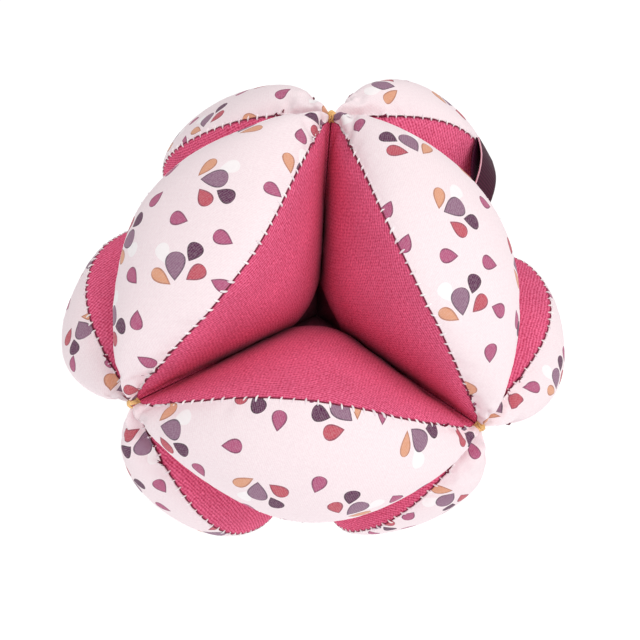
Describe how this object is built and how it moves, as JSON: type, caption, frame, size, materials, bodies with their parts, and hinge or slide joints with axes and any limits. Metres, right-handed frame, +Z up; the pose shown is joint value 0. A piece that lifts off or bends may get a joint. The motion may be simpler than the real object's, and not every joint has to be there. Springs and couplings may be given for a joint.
{
  "type": "fabric sensory ball",
  "caption": "Stuffed cloth grasping ball of lens-shaped segments tied at their tips, with deep three-sided finger pockets between them and a small ribbon loop.",
  "frame": {"origin": "on the floor under the middle of the ball, which rests on the four shoulders round its lowest tie", "axes": "+Z up through the top tie; -Y towards the front three-sided pocket; +X to the right, on the ribbon's side"},
  "size_m": [0.1306, 0.1306, 0.1228],
  "materials": {
    "raspberry_cotton": "plain-weave cotton, matt",
    "printed_cotton": "very pale pink plain-weave cotton with small scattered petals, matt",
    "gold_thread": "twisted sewing thread, slight sheen",
    "aubergine_ribbon": "narrow woven ribbon with a pale edge, slight sheen"
  },
  "bodies": {
    "root": {"pouch_upper_front_left": "raspberry_cotton", "panel_upper_front_left": "printed_cotton", "pouch_upper_front_right": "raspberry_cotton", "panel_upper_front_right": "printed_cotton", "pouch_upper_back_left": "raspberry_cotton", "panel_upper_back_left": "printed_cotton", "pouch_upper_back_right": "raspberry_cotton", "panel_upper_back_right": "printed_cotton", "pouch_middle_front": "raspberry_cotton", "panel_middle_front": "printed_cotton", "pouch_middle_left": "raspberry_cotton", "panel_middle_left": "printed_cotton", "pouch_middle_right": "raspberry_cotton", "panel_middle_right": "printed_cotton", "pouch_middle_back": "raspberry_cotton", "panel_middle_back": "printed_cotton", "pouch_lower_front_left": "raspberry_cotton", "panel_lower_front_left": "printed_cotton", "pouch_lower_front_right": "raspberry_cotton", "panel_lower_front_right": "printed_cotton", "pouch_lower_back_left": "raspberry_cotton", "panel_lower_back_left": "printed_cotton", "pouch_lower_back_right": "raspberry_cotton", "panel_lower_back_right": "printed_cotton", "tie_top": "gold_thread", "tie_left_front": "gold_thread", "tie_right_front": "gold_thread", "tie_bottom": "gold_thread", "tie_right_back": "gold_thread", "tie_left_back": "gold_thread", "ribbon_label": "aubergine_ribbon"}
  },
  "joints": []
}
